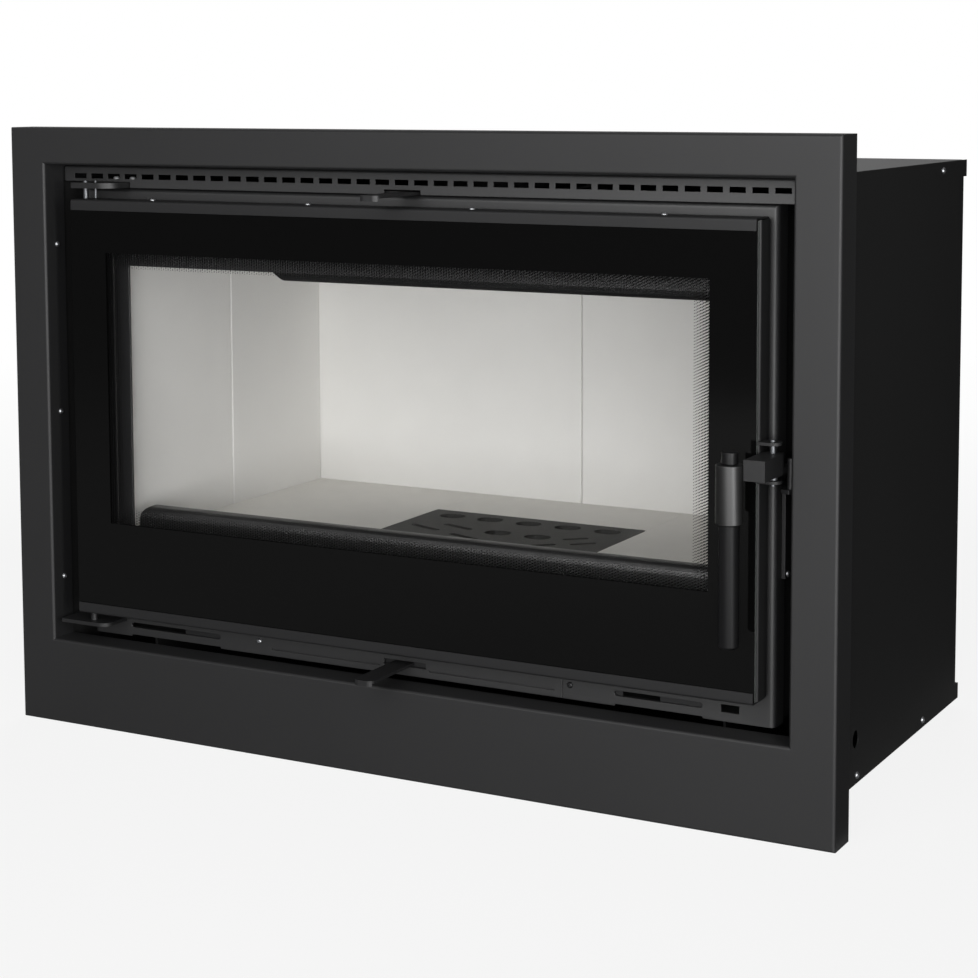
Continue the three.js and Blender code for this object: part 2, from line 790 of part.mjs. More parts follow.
// A lining board: a slab with small bevels along its upright edges on the fire side.
function board(plan, z0, z1, bevels) {
  const { left, right, bottom, top } = plan;
  const [a, b, c, d] = bevels.map((has) => (has ? edgeBevel : 0));
  const points = [
    [left + a, bottom], [right - b, bottom], [right, bottom + b], [right, top - c],
    [right - c, top], [left + d, top], [left, top - d], [left, bottom + a],
  ].map(([x, y]) => new THREE.Vector2(x, y));
  const distinct = points.filter((point, i) => !point.equals(points[(i + 1) % points.length]));
  return prismZ(new THREE.Shape(distinct), z0, z1);
}

// Lining: two boards on each side, two at the back and four on the floor round the grate.
function buildLining() {
  const middle = (chamberFront + chamberBack) / 2;
  const outside = wallInner - fit;
  const halves = [
    ['front', chamberFront, middle - jointWidth / 2],
    ['rear', middle + jointWidth / 2, chamberBack - fit],
  ];
  for (const [end, y0, y1] of halves) {
    place(`lining_left_${end}`, board(
      rectangle(-outside, -chamberHalf, y0, y1), liningBottom, liningTop, [0, 1, 1, 0],
    ), fireboard);
    place(`lining_right_${end}`, board(
      rectangle(chamberHalf, outside, y0, y1), liningBottom, liningTop, [1, 0, 0, 1],
    ), fireboard);
  }
  const rear = (x0, x1, bevels) => board(
    rectangle(x0, x1, chamberBack, liningRear), liningBottom, liningTop, bevels,
  );
  place('lining_back_left', rear(-outside, -jointWidth / 2, [0, 1, 0, 0]), fireboard);
  place('lining_back_right', rear(jointWidth / 2, outside, [1, 0, 0, 0]), fireboard);

  const pit = inset(gratePlan(), -gratePlay);
  const edge = chamberHalf - fit;
  const brick = (name, x0, x1, y0, y1, bevels) => place(
    name, board(rectangle(x0, x1, y0, y1), liningBottom, chamberFloor, bevels), fireboard,
  );
  const rearEdge = chamberBack - fit;
  brick('floor_brick_left', -edge, pit.left, chamberFront, rearEdge, [0, 0, 0, 0]);
  brick('floor_brick_right', pit.right, edge, chamberFront, rearEdge, [0, 0, 0, 0]);
  brick('floor_brick_front', pit.left + fit, pit.right - fit, chamberFront, pit.bottom, [0, 0, 0, 0]);
  brick('floor_brick_rear', pit.left + fit, pit.right - fit, pit.top, rearEdge, [0, 0, 0, 0]);
}

function gratePlan() {
  return rectangle(-grateLength / 2, grateLength / 2, grateY - grateWidth / 2, grateY + grateWidth / 2);
}

// Outer edge of the ash pan's rim, inside the grate carrier.
function ashRim() {
  return inset(gratePlan(), carrierLedge + 1);
}

// Lay a ring or pan that was lofted over x and y so that its depth runs down from height z.
function layDown(geometry, z) {
  return solid(geometry.rotateX(-Math.PI / 2).translate(0, 0, z));
}

// Cast grate: a slab with a row of broad slots, two more in the middle and slanted slots around.
function buildGrate() {
  const { left, right, bottom, top } = gratePlan();
  const slab = prismZ(roundedOutline(rectangle(left, right, bottom, top), [3, 3, 3, 3]),
    chamberFloor - grateThickness, chamberFloor, 2);
  const broad = [-2, -1, 0, 1, 2].map((i) => [i * broadSlotPitch, backRowY]);
  broad.push([-7, middleRowY], [-7 + broadSlotPitch, middleRowY]);
  const leftSlots = [[-97, -31], [-65, -11], [-32, -57]];
  const rightSlots = [[87, -10], [106, -30], [69, -57]];
  const slots = [
    ...broad.map(([x, y]) => slotOutline(x, grateY + y, broadSlotLength, broadSlotWidth)),
    ...leftSlots.map(([x, y]) => slotOutline(x, grateY + y, leftSlotLength, thinSlotWidth, leftSlotAngle)),
    ...rightSlots.map(([x, y]) => slotOutline(
      x, grateY + y, rightSlotLength, thinSlotWidth, rightSlotAngle,
    )),
  ];
  const through = slots.map((slot) => prismZ(slot, chamberFloor - grateThickness - 1, chamberFloor + 1, 4));
  place('grate', cut(slab, through), castBlack);
}

// Grate carrier: an angle ring on the hearth plate whose ledge holds the grate.
function buildCarrier() {
  const outer = inset(gratePlan(), -gratePlay + 2 * fit);
  const ledge = inset(gratePlan(), carrierLedge);
  const top = chamberFloor - grateThickness - fit;
  const depth = top - liningBottom;
  place('grate_carrier', layDown(loft([
    [outer, 0], [outer, depth], [inset(outer, carrierWall), depth],
    [inset(outer, carrierWall), carrierWall], [ledge, carrierWall], [ledge, 0],
  ], true), top), castBlack);
}

// Ash pan: an open folded box that hangs by its rim in the hearth plate.
function buildAshPan() {
  const rim = ashRim();
  const wall = inset(rim, panRim + 1 + 2 * fit);
  const top = liningBottom + panSheet;
  place('ash_pan', layDown(loft([
    [inset(wall, panSheet), panDepth - panSheet],
    [inset(wall, panSheet), 0], [rim, 0], [rim, panSheet], [wall, panSheet], [wall, panDepth],
  ], false), top), bareSteel);
}

// Log guard: a rolled sheet along the front of the chamber, with rounded upper corners.
function buildLogGuard() {
  const back = guardY + guardDepth;
  const section = foldedSection([
    [guardY, liningBottom], [guardY, guardHeight], [back, guardHeight], [back, guardHeight - guardLip],
  ], guardSheet, [guardBend - guardSheet, 1], -1);
  const silhouette = roundedOutline(
    rectangle(-guardHalf, guardHalf, liningBottom - 1, guardHeight + 1),
    [0, 0, guardCorner, guardCorner],
  );
  const body = prismX(section, -guardHalf - 1, guardHalf + 1);
  place('log_guard', body.intersect(prismY(silhouette, guardY - 1, back + 1)), steelBlack);
}

// Smoke baffle: a folded channel that hangs in a flat frame across the top of the lining.
function buildBaffle() {
  const top = liningTop + fit + barThickness + fit + baffleSheet;
  const bottom = top - baffleHeight;
  const rear = chamberBack - baffleRearGap;
  const section = foldedSection([
    [baffleY + baffleHook, top], [baffleY, top], [baffleY, bottom],
    [rear, bottom], [rear, top], [rear - baffleHook, top],
  ], baffleSheet, baffleSheet);
  const corner = (side) => prismY(new THREE.Shape([
    new THREE.Vector2(side * (baffleHalf - baffleChamferWidth), bottom),
    new THREE.Vector2(side * (baffleHalf + 1), bottom - 1),
    new THREE.Vector2(side * baffleHalf, bottom + baffleChamferHeight),
  ]), baffleY - 1, rear + 1);
  place('baffle', cut(prismX(section, -baffleHalf, baffleHalf), [corner(-1), corner(1)]), steelBlack);

  const frameBottom = liningTop + fit;
  const clear = 2 * baffleSheet + 1;
  const frame = rectangle(-(wallInner - fit), wallInner - fit, baffleY + clear, rear - clear);
  place('baffle_frame', layDown(loft([
    [frame, 0], [frame, barThickness], [inset(frame, barWidth), barThickness], [inset(frame, barWidth), 0],
  ], true), frameBottom + barThickness), castBlack);
}

// Two lugs that carry the latch pin, welded to the side of the right stile.
function buildLugs() {
  const lug = (z) => {
    const outline = new THREE.Shape();
    outline.moveTo(doorHalf - doorSheet / 2, pivotY - lugRadius);
    outline.lineTo(pivotX, pivotY - lugRadius);
    outline.absarc(pivotX, pivotY, lugRadius, -Math.PI / 2, Math.PI / 2, false);
    outline.lineTo(doorHalf - doorSheet / 2, pivotY + lugRadius);
    return prismZ(outline, z, z + lugThickness);
  };
  const bore = rodZ(pivotX, pivotY, latchPinRadius + fit, lowerLug - 1, upperLug + lugThickness + 1);
  return join([lug(upperLug), lug(lowerLug)]).subtract(bore);
}

// Door rails and stiles, folded from sheet.
function buildDoorFrame() {
  const half = doorHalf - railSetback;
  const innerEdge = doorHalf - doorFlange - fit;
  const rail = (name, edge, up) => {
    const section = foldedSection([
      [0, edge - up * doorLip], [0, edge], [doorDepth, edge], [doorDepth, edge - up * doorFlange],
    ], doorSheet, doorSheet, -up);
    const corner = (side) => box(
      Math.min(side * innerEdge, side * doorHalf), Math.max(side * innerEdge, side * doorHalf),
      stileFront - fit, doorDepth + 1,
      Math.min(edge - up * (doorSheet + fit), edge - up * 2 * doorFlange),
      Math.max(edge - up * (doorSheet + fit), edge - up * 2 * doorFlange),
    );
    const body = cut(prismX(section, -half, half), [corner(-1), corner(1)]);
    const pinHole = rodZ(
      hingeX, hingeY, lowerPinRadius + turningGap, doorBottom - 1, doorBottom + doorFlange,
    );
    place(name, up < 0 ? body.subtract(pinHole) : body, steelBlack);
  };
  rail('door_top_rail', doorTop, 1);
  rail('door_bottom_rail', doorBottom, -1);

  for (const [name, side] of [['door_left_stile', -1], ['door_right_stile', 1]]) {
    const section = foldedSection([
      [side * (doorHalf - stileLip), stileFront],
      [side * doorHalf, stileFront],
      [side * doorHalf, doorDepth],
      [side * (doorHalf - doorFlange), doorDepth],
    ], doorSheet, doorSheet, side);
    const body = prismZ(section, doorBottom + doorSheet + 2 * fit, doorTop - doorSheet - 2 * fit);
    place(name, side > 0 ? body.add(buildLugs()) : body, steelBlack);
  }
}

// Door glass, its sealing tape and the two angles that hold it in the rails.
function buildDoorGlass() {
  const edge = doorSheet + 4 * fit;
  const pane = rectangle(
    glassSetback - doorHalf, doorHalf - glassSetback, doorBottom + edge, doorTop - edge,
  );
  place('door_glass', box(
    pane.left, pane.right, glassFront, glassBack, pane.bottom, pane.top,
  ), glassDark);
  const tape = inset(pane, 1);
  place('glass_tape', flatRing(tape, inset(tape, tapeWidth), glassBack + fit, tapeBack), ropeGrey);

  const half = doorHalf - doorFlange;
  for (const [name, edge, up] of [
    ['glass_retainer_top', doorTop, 1],
    ['glass_retainer_bottom', doorBottom, -1],
  ]) {
    const root = edge - up * (doorSheet + fit);
    const section = foldedSection([
      [stileFront, root - up * retainerDrop], [stileFront, root], [stileFront + retainerDrop, root],
    ], doorSheet, doorSheet, -up);
    place(name, prismX(section, -half, half), bareSteel);
  }
}

// Rope seal: a flattened rope on the door's rear flanges, pressed against the front plate.
function buildDoorRope() {
  const centre = doorFlange - ropeWidth / 2 - 1;
  const path = rectangle(-doorHalf + centre, doorHalf - centre, doorBottom + centre, doorTop - centre);
  const middle = doorDepth + fit + ropeHeight / 2;
  const levels = Array.from({ length: 8 }, (_, i) => {
    const angle = ((i + 0.5) / 8) * 2 * Math.PI;
    const stretch = 1 / Math.cos(Math.PI / 8);
    const across = (ropeWidth / 2) * stretch * Math.cos(angle);
    const deep = (ropeHeight / 2) * stretch * Math.sin(angle);
    return [inset(path, across), middle + deep];
  });
  place('door_rope', solid(loft(levels, true)), ropeGrey);
}

// Hinge plates and pins. The stop pin runs in a curved slot and ends the door's swing.
function buildHinges() {
  const front = 0;
  const upper = rectangle(hingeX - upperPlateOutset, hingeX + upperPlateReach, front, hingePlateBack);
  const body = prismZ(roundedOutline(upper, [2, upperPlateCorner, 0, 0]), upperPlateBottom, upperPlateTop);
  const through = (shape) => prismZ(shape, upperPlateBottom - 1, upperPlateTop + 1, 10);
  const slotWidth = 2 * (stopPinRadius + turningGap);
  place('upper_hinge_plate', cut(body, [
    rodZ(hingeX, hingeY, upperPinRadius + turningGap, upperPlateBottom - 1, upperPlateTop + 1),
    through(arcSlotOutline(
      hingeX, hingeY, stopRadius, slotWidth, stopAngle - doorSwing - 1, stopAngle + 1,
    )),
  ]), steelBlack);
  const pinTop = upperPlateTop + 2.5;
  place('upper_hinge_pin', turned([
    [0, doorTop + fit], [upperPinRadius, doorTop + fit], [upperPinRadius, pinTop - 0.6],
    [upperPinRadius - 0.8, pinTop], [0, pinTop],
  ], hingeX, hingeY, 16), pinSteel);
  const angle = THREE.MathUtils.degToRad(stopAngle);
  place('door_stop_pin', rodZ(
    hingeX + stopRadius * Math.cos(angle), hingeY + stopRadius * Math.sin(angle),
    stopPinRadius, doorTop + fit, upperPlateTop + 1.5, 12,
  ), pinSteel);

  const lower = rectangle(hingeX - lowerPlateOutset, hingeX + lowerPlateReach, front, plateY - fit);
  place('lower_hinge_plate', join([
    prismZ(
      roundedOutline(lower, [2, lowerPlateCorner, 0, 0]), lowerPlateTop - lowerPlateThickness, lowerPlateTop,
    ),
    rodZ(hingeX, hingeY, lowerPinRadius, lowerPlateTop - 1, doorBottom + 8),
  ]), steelBlack);
}

// Latch: a pin between the two lugs of the right stile, and a keeper with its catch pin beside it.
function buildLatch() {
  const low = lowerLug + lugThickness + fit;
  place('latch_pin', turned([
    [0, lowerLug - 3], [latchPinRadius, lowerLug - 3], [latchPinRadius, low], [shoulderRadius, low],
    [shoulderRadius, armBottom - fit], [latchPinRadius, armBottom - fit],
    [latchPinRadius, upperLug + lugThickness + 2], [0, upperLug + lugThickness + 2],
  ], pivotX, pivotY, 16), pinSteel);

  const legInner = plateHalf + fit;
  const leg = box(
    legInner, legInner + keeperSheet, keeperFront, keeperFront + keeperDepth, keeperBottom, keeperTab,
  );
  const tab = prismZ(new THREE.Shape([
    [legInner, keeperFront], [catchX - 2 * catchRadius - 2, catchY - 3], [catchX, catchY - catchRadius - 3],
    [catchX + catchRadius, catchY - 2], [catchX + catchRadius, keeperFront],
    [legInner + keeperSheet, keeperFront + keeperDepth],
    [legInner, keeperFront + keeperDepth],
  ].map(([x, y]) => new THREE.Vector2(x, y))), keeperTab - keeperSheet, keeperTab);
  place('keeper_plate', leg.add(tab), steelBlack);
  place('catch_pin', rodZ(catchX, catchY, catchRadius, keeperTab + fit, armTop - 5), pinSteel);
}

// Handle: a square arm on the latch pin with a nose behind the catch, and an upright grip.
function buildHandle() {
  const left = pivotX - armWidth / 2;
  const right = pivotX + armWidth / 2;
  const outline = new THREE.Shape();
  outline.moveTo(left, armFront);
  outline.lineTo(right, armFront);
  outline.lineTo(right, pivotY);
  outline.absarc(pivotX, pivotY, armWidth / 2, 0, Math.PI, false);
  outline.lineTo(left, armFront);
  const nose = new THREE.Shape();
  nose.moveTo(pivotX, pivotY);
  nose.lineTo(pivotX + armWidth / 2, pivotY);
  nose.lineTo(pivotX + noseReach, pivotY + noseY - noseWidth / 2);
  const tip = noseWidth / 2;
  nose.absarc(pivotX + noseReach - tip, pivotY + noseY - tip, tip, 0, Math.PI, false);
  nose.lineTo(pivotX, pivotY);
  const bore = rodZ(pivotX, pivotY, latchPinRadius + fit, armBottom - 1, armTop + 1);
  place('latch_arm', join([
    prismZ(outline, armBottom, armTop, 8),
    prismZ(nose, armBottom, armBottom + noseThickness),
  ]).subtract(bore), steelBlack);

  const c = handleChamfer;
  const bore2 = spindleRadius + fit;
  place('handle_sleeve', turned([
    [bore2, sleeveBottom], [sleeveRadius - c, sleeveBottom], [sleeveRadius, sleeveBottom + c],
    [sleeveRadius, sleeveTop - c], [sleeveRadius - c, sleeveTop], [bore2, sleeveTop], [bore2, sleeveBottom],
  ], handleX, handleY), sleeveSteel);
  const gripBottom = gripTop - gripLength;
  const socket = gripTop - spindleSocket;
  place('handle_grip', turned([
    [0, gripBottom], [gripRadius - 2 * c, gripBottom], [gripRadius, gripBottom + 2 * c],
    [gripRadius, gripTop], [bore2, gripTop], [bore2, socket], [0, socket],
  ], handleX, handleY), steelBlack);
  place('handle_spindle', turned([
    [0, socket + fit], [spindleRadius, socket + fit], [spindleRadius, spindleTop - 2 * c],
    [spindleRadius - 2 * c, spindleTop], [0, spindleTop],
  ], handleX, handleY), steelBlack);
}

// Air sliders: the primary behind the bottom strip, the secondary on top of the front plate.
function buildAirSliders() {
  const y0 = sliderFront;
  const left = sliderLeftInset - plateHalf;
  const right = plateHalf - sliderRightInset;
  const bottom = plateBottom + 4;
  const bar = box(left, right, y0, y0 + leverSheet, bottom, bottom + sliderHeight);
  const windows = primaryWindows.map(([x0, x1]) => box(
    x0, x1, y0 - 1, y0 + leverSheet + 1, airSlotZ - airSlotHeight / 2, airSlotZ + airSlotHeight / 2,
  ));
  const leverZ = airSlotZ - leverSheet / 2;
  place('primary_air_slider', join([
    cut(bar, windows),
    leverTab(primaryLeverX, y0 + 1, leverZ),
  ]), steelBlack);

  const topZ = plateTop + 2 * fit;
  const front = plateY + plateBend;
  const plate = box(-secondaryHalf, secondaryHalf, front, front + secondaryDepth, topZ, topZ + leverSheet);
  const openings = [-airWindowX - 10, airWindowX - 10].map((x) => box(
    x - airWindowHalf, x + airWindowHalf, front + 2, front + secondaryDepth - 4,
    topZ - 1, topZ + leverSheet + 1,
  ));
  place('secondary_air_slider', join([
    cut(plate, openings),
    leverTab(secondaryLeverX, front + secondaryDepth / 2, topZ),
  ]), steelBlack);
}

// Levelling feet under the tray.
function buildFeet() {
  const x = casingOuter - footSideInset;
  const frontY = innerReturn + footFrontInset;
  const rearY = casingRear - footRearInset;
  for (const [end, y] of [['front', frontY], ['rear', rearY]]) {
    for (const [hand, side] of [['left', -1], ['right', 1]]) {
      place(`foot_${end}_${hand}`, turned([
        [0, 0], [footRadius, 0], [footRadius, footDisc], [studRadius, footDisc],
        [studRadius, footHeight - fit], [0, footHeight - fit],
      ], side * x, y, 20), castBlack);
    }
  }
}

buildSurround();
buildCasingSide('casing_left_side', -1);
buildCasingSide('casing_right_side', 1);
buildCasingCovers();
buildGrille();
buildFrontPlate();
buildAirCover();
buildFirebox();
buildCradle();
buildCollar();
buildLining();
buildCarrier();
buildAshPan();
buildGrate();
buildLogGuard();
buildBaffle();
buildDoorFrame();
buildDoorGlass();
buildDoorRope();
buildHinges();
buildLatch();
buildHandle();
buildAirSliders();
buildFeet();

// Centre the depth between the front of the handle and the rear of the casing.
const handleFront = handleY - sleeveRadius;
part.position.y = -(casingDepth + handleFront) / 2;

export default part;
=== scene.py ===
import math
import bmesh
import bpy
from mathutils import Matrix, Vector


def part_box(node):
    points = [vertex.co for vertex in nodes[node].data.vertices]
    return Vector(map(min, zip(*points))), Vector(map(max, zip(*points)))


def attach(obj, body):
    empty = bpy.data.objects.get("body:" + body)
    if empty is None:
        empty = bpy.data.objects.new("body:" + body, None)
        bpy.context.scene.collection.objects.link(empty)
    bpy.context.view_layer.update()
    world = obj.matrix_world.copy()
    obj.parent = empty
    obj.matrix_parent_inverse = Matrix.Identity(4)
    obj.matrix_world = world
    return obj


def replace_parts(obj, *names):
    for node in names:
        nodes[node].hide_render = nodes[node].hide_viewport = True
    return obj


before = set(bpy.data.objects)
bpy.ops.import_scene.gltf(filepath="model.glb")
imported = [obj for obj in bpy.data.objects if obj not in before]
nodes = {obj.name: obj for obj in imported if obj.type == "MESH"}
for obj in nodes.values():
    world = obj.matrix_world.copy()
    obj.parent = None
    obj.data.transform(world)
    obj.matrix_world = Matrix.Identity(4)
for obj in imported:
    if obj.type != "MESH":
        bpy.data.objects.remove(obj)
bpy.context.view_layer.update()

scene = bpy.context.scene
mm = 0.001
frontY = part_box("surround_frame")[0].y  # front face of the surround
floorZ = 0.0
print("frame loaded:", len(nodes), "pieces")


def at(x, y, z):  # mm from the middle of the surround's front edge on the floor, to frame metres
    return Vector((x * mm, frontY + y * mm, z * mm))


def linear(hexText):  # sRGB hex to the linear colour that a node wants
    parts = [int(hexText[i:i + 2], 16) / 255 for i in (1, 3, 5)]
    toLinear = [c / 12.92 if c <= 0.04045 else ((c + 0.055) / 1.055) ** 2.4 for c in parts]
    return (*toLinear, 1.0)


# one node with its settings, and a value or a link on each socket named
def add(tree, kind, settings, inputs):
    node = tree.nodes.new(kind)
    for name, value in settings.items():
        setattr(node, name, value)
    for name, value in inputs.items():
        if isinstance(value, bpy.types.NodeSocket):
            tree.links.new(value, node.inputs[name])
        else:
            node.inputs[name].default_value = value
    return node


def startMaterial(name):
    material = bpy.data.materials.new(name)
    material.use_nodes = True
    material.node_tree.nodes.clear()
    return material, material.node_tree


# Heat-proof silicone paint, sprayed on folded steel sheet and baked. It is a dry, nearly black film
# with a fine grit, and faint clouds where the spray went on thicker. Folds catch a soft line of
# light. The real grit is about 0.2 mm; it is drawn at 0.6 to 0.9 mm, because finer doesn't show.
gritLook = {"detail": 3.0, "scatter": 0.6, "roughSpread": 0.05, "depthMm": 0.2}


def sprayedPaint(name, look):
    material, tree = startMaterial(name)
    place = add(tree, "ShaderNodeTexCoord", {}, {}).outputs["Object"]
    grit = add(tree, "ShaderNodeTexNoise", {}, {
        "Vector": place, "Scale": 1 / (look["gritMm"] * mm),
        "Detail": gritLook["detail"], "Roughness": gritLook["scatter"]})
    cloud = add(tree, "ShaderNodeTexNoise", {}, {
        "Vector": place, "Scale": 1 / (look["cloudMm"] * mm), "Detail": 2.0})
    tint = add(tree, "ShaderNodeMix", {"data_type": "RGBA"}, {"Factor": cloud.outputs[0]})
    tint.inputs["A"].default_value = linear(look["thin"])
    tint.inputs["B"].default_value = linear(look["thick"])
    rough = add(tree, "ShaderNodeMapRange", {}, {
        "Value": grit.outputs[0],
        "To Min": look["rough"] - gritLook["roughSpread"],
        "To Max": look["rough"] + gritLook["roughSpread"]})
    bump = add(tree, "ShaderNodeBump", {}, {
        "Height": grit.outputs[0], "Strength": look["grain"], "Distance": gritLook["depthMm"] * mm})
    paint = add(tree, "ShaderNodeBsdfPrincipled", {}, {
        "Base Color": tint.outputs["Result"], "Roughness": rough.outputs[0],
        "Normal": bump.outputs[0], "Specular IOR Level": look["gloss"], "IOR": 1.5})
    add(tree, "ShaderNodeOutputMaterial", {}, {"Surface": paint.outputs[0]})
    return material


surroundPaint = sprayedPaint("sprayed_stove_paint_surround", {  # half matt and even
    "thin": "#0e0e0f", "thick": "#121213", "rough": 0.575, "gloss": 0.3,
    "gritMm": 0.9, "cloudMm": 120, "grain": 0.12})
casingPaint = sprayedPaint("sprayed_stove_paint_casing", {  # dull, on what the wall hides
    "thin": "#111111", "thick": "#141414", "rough": 0.7, "gloss": 0.16,
    "gritMm": 0.9, "cloudMm": 160, "grain": 0.12})
doorPaint = sprayedPaint("sprayed_stove_paint_door", {
    "thin": "#0f0f10", "thick": "#131314", "rough": 0.56, "gloss": 0.22,
    "gritMm": 0.8, "cloudMm": 90, "grain": 0.1})
platePaint = sprayedPaint("sprayed_stove_paint_plate", {  # smoother, with a clear line at each bend
    "thin": "#101011", "thick": "#131314", "rough": 0.5, "gloss": 0.5,
    "gritMm": 0.8, "cloudMm": 60, "grain": 0.1})
mechanismPaint = sprayedPaint("sprayed_stove_paint_mechanism", {
    "thin": "#0f0f10", "thick": "#131314", "rough": 0.5, "gloss": 0.27,
    "gritMm": 0.7, "cloudMm": 30, "grain": 0.1})
guardPaint = sprayedPaint("sprayed_stove_paint_guard", {  # shiny, a long gleam on its round top
    "thin": "#111111", "thick": "#151515", "rough": 0.4, "gloss": 0.6,
    "gritMm": 0.8, "cloudMm": 40, "grain": 0.12})
gripPaint = sprayedPaint("sprayed_stove_paint_grip", {  # the blackest, close and smooth to the hand
    "thin": "#0a0a0b", "thick": "#0c0c0d", "rough": 0.42, "gloss": 0.1,
    "gritMm": 0.6, "cloudMm": 30, "grain": 0.08})
insidePaint = sprayedPaint("sprayed_stove_paint_inside", {  # dull, on what lies behind the lining
    "thin": "#0f0f0f", "thick": "#121212", "rough": 0.75, "gloss": 0.25,
    "gritMm": 0.9, "cloudMm": 80, "grain": 0.12})

# Sand-cast iron rubbed with stove blacking: a dull grey-black skin, coarser than the paint
castIron = sprayedPaint("blackened_cast_iron", {
    "thin": "#20201e", "thick": "#292926", "rough": 0.68, "gloss": 0.4,
    "gritMm": 1.5, "cloudMm": 40, "grain": 0.4})
print("paints mixed")


# Pressed vermiculite board: pale and chalky, with fine pores and faint mottling from the press.
# Its flakes are about 1 mm; the pores are drawn at 1.5 mm so that they show.
def pressedBoard(name, look):
    material, tree = startMaterial(name)
    place = add(tree, "ShaderNodeTexCoord", {}, {}).outputs["Object"]
    mottle = add(tree, "ShaderNodeTexNoise", {}, {
        "Vector": place, "Scale": 1 / (look["mottleMm"] * mm), "Detail": 5.0, "Roughness": 0.65})
    pores = add(tree, "ShaderNodeTexNoise", {}, {
        "Vector": place, "Scale": 1 / (look["poreMm"] * mm), "Detail": 2.0})
    tint = add(tree, "ShaderNodeMix", {"data_type": "RGBA"}, {"Factor": mottle.outputs[0]})
    tint.inputs["A"].default_value = linear(look["dark"])
    tint.inputs["B"].default_value = linear(look["pale"])
    bump = add(tree, "ShaderNodeBump", {}, {
        "Height": pores.outputs[0], "Strength": look["pitting"], "Distance": look["pitMm"] * mm})
    board = add(tree, "ShaderNodeBsdfPrincipled", {}, {
        "Base Color": tint.outputs["Result"], "Normal": bump.outputs[0],
        "Roughness": 0.95, "Specular IOR Level": 0.3})
    add(tree, "ShaderNodeOutputMaterial", {}, {"Surface": board.outputs[0]})
    return material


wallBoard = pressedBoard("pressed_vermiculite_wall_board", {
    "dark": "#e2e1de", "pale": "#eae9e6", "mottleMm": 45,
    "poreMm": 1.5, "pitMm": 0.3, "pitting": 0.15})
floorBoard = pressedBoard("pressed_vermiculite_floor_brick", {
    "dark": "#dcdad5", "pale": "#e6e4df", "mottleMm": 30,
    "poreMm": 1.5, "pitMm": 0.3, "pitting": 0.15})


# Turned and plated steel: bare metal with a fine machining grain that blurs its reflections
# unevenly. The real grain is a few hundredths of a millimetre; it is drawn at 0.4 to 0.6 mm so that
# it shows.
def workedSteel(name, look):
    grainSpread = 0.06  # how far the grain moves the roughness either way
    material, tree = startMaterial(name)
    place = add(tree, "ShaderNodeTexCoord", {}, {}).outputs["Object"]
    grain = add(tree, "ShaderNodeTexNoise", {}, {
        "Vector": place, "Scale": 1 / (look["grainMm"] * mm), "Detail": 2.0})
    rough = add(tree, "ShaderNodeMapRange", {}, {
        "Value": grain.outputs[0],
        "To Min": look["rough"] - grainSpread, "To Max": look["rough"] + grainSpread})
    steel = add(tree, "ShaderNodeBsdfPrincipled", {}, {
        "Base Color": linear(look["colour"]), "Roughness": rough.outputs[0], "Metallic": 1.0})
    add(tree, "ShaderNodeOutputMaterial", {}, {"Surface": steel.outputs[0]})
    return material


zincScrew = workedSteel("zinc_plated_screw", {  # small grey glints on black sheet
    "colour": "#7c7d7f", "rough": 0.42, "grainMm": 0.4})
boltZincPaintedLight = workedSteel("bolt_zinc_paled_as_painted_light", {  # paled well beyond the screws' zinc as painted light, so the bolts show lit in the dark behind the grille
    "colour": "#e2e3e5", "rough": 0.55, "grainMm": 0.4})
pinSteel = workedSteel("turned_pin_steel", {  # oiled pins, each with one narrow bright line
    "colour": "#4b4c4e", "rough": 0.46, "grainMm": 0.4})
panSteel = workedSteel("galvanised_sheet", {  # plain grey sheet with a broad soft shine
    "colour": "#4c4d4f", "rough": 0.55, "grainMm": 0.6})
sleeveSteel = workedSteel("blackened_turned_steel", {  # dark sleeve with a soft upright sheen
    "colour": "#323232", "rough": 0.42, "grainMm": 0.5})


# Knitted glass-fibre rope: dark grey, soft and dull, with a close knit of 1.6 mm stitches
def knittedRope(name, look):
    material, tree = startMaterial(name)
    place = add(tree, "ShaderNodeTexCoord", {}, {}).outputs["Object"]
    knit = add(tree, "ShaderNodeTexVoronoi", {}, {
        "Vector": place, "Scale": 1 / (look["stitchMm"] * mm)})
    bump = add(tree, "ShaderNodeBump", {}, {
        "Height": knit.outputs["Distance"],
        "Strength": look["knit"], "Distance": look["reliefMm"] * mm})
    rope = add(tree, "ShaderNodeBsdfPrincipled", {}, {
        "Base Color": linear(look["colour"]), "Normal": bump.outputs[0], "Roughness": 1.0})
    add(tree, "ShaderNodeOutputMaterial", {}, {"Surface": rope.outputs[0]})
    return material


sealRope = knittedRope("knitted_glass_rope", {
    "colour": "#3a3937", "stitchMm": 1.6, "reliefMm": 0.5, "knit": 0.6})


